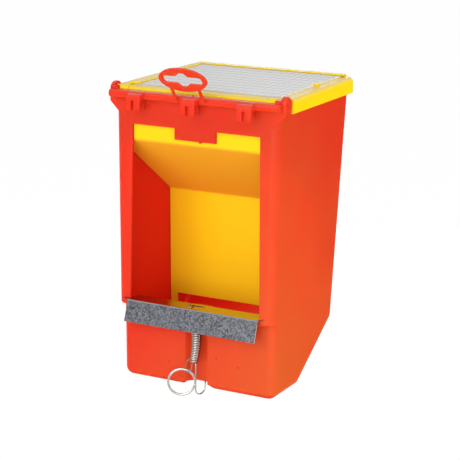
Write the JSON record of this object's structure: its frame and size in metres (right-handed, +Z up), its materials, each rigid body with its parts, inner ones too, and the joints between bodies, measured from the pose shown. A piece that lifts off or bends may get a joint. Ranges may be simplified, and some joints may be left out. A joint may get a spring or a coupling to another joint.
{
  "type": "automatic rabbit feeder",
  "caption": "Red hopper feeder for rabbits that hooks on a wire cage, with a hinged yellow lid, record card, feed baffle, gnaw guard, and a spring with hook and pull ring.",
  "frame": {"origin": "where the cage wire bears in the middle hook: the middle of the object's width, half way across the hook's gap, on the underside of its crown", "axes": "+Z up when the feeder hangs on the cage, +Y from the cage towards the hopper's back, +X to the right of someone who looks at the front from inside the cage"},
  "size_m": [0.1588, 0.1673, 0.2745],
  "materials": {
    "red_plastic": "moulded, semi-gloss",
    "yellow_plastic": "moulded, semi-gloss",
    "white_card": "matt",
    "galvanised_sheet": "spangled zinc",
    "spring_steel": "bright drawn wire",
    "nickel_wire": "nickel plated"
  },
  "bodies": {
    "housing": {"housing": "red_plastic", "feed_baffle": "yellow_plastic", "gnaw_guard": "galvanised_sheet", "display_hanger": "red_plastic"},
    "lid": {"lid": "yellow_plastic", "record_card": "white_card"},
    "spring": {"tension_spring": "spring_steel"},
    "hook": {"fastening_hook": "spring_steel"},
    "link": {"ring_link": "nickel_wire"},
    "ring": {"pull_ring": "nickel_wire"}
  },
  "joints": [
    {"name": "lid_hinge", "type": "hinge", "parent": "housing", "child": "lid", "pos_m": [0, 0.01115, 0.0056], "axis": [1, 0, 0], "range_deg": [0, 105]},
    {"name": "spring_swing", "type": "hinge", "parent": "housing", "child": "spring", "pos_m": [-0.00385, 0.01075, -0.1696], "axis": [1, 0, 0], "range_deg": [-28, 0]},
    {"name": "spring_stretch", "type": "slide", "parent": "spring", "child": "hook", "axis": [0, 0, -1], "range_m": [0, 0.022], "stiffness_N_per_m": 1600, "deforming": ["tension_spring"]},
    {"name": "link_swing", "type": "hinge", "parent": "hook", "child": "link", "pos_m": [-0.0046, 0.00956, -0.21346], "axis": [0.3907, -0.9205, 0], "range_deg": [-15, 5]},
    {"name": "ring_swing", "type": "hinge", "parent": "link", "child": "ring", "pos_m": [-0.00429, 0.00466, -0.22084], "axis": [-0.8008, -0.408, 0.4384], "range_deg": [0, 80]}
  ]
}
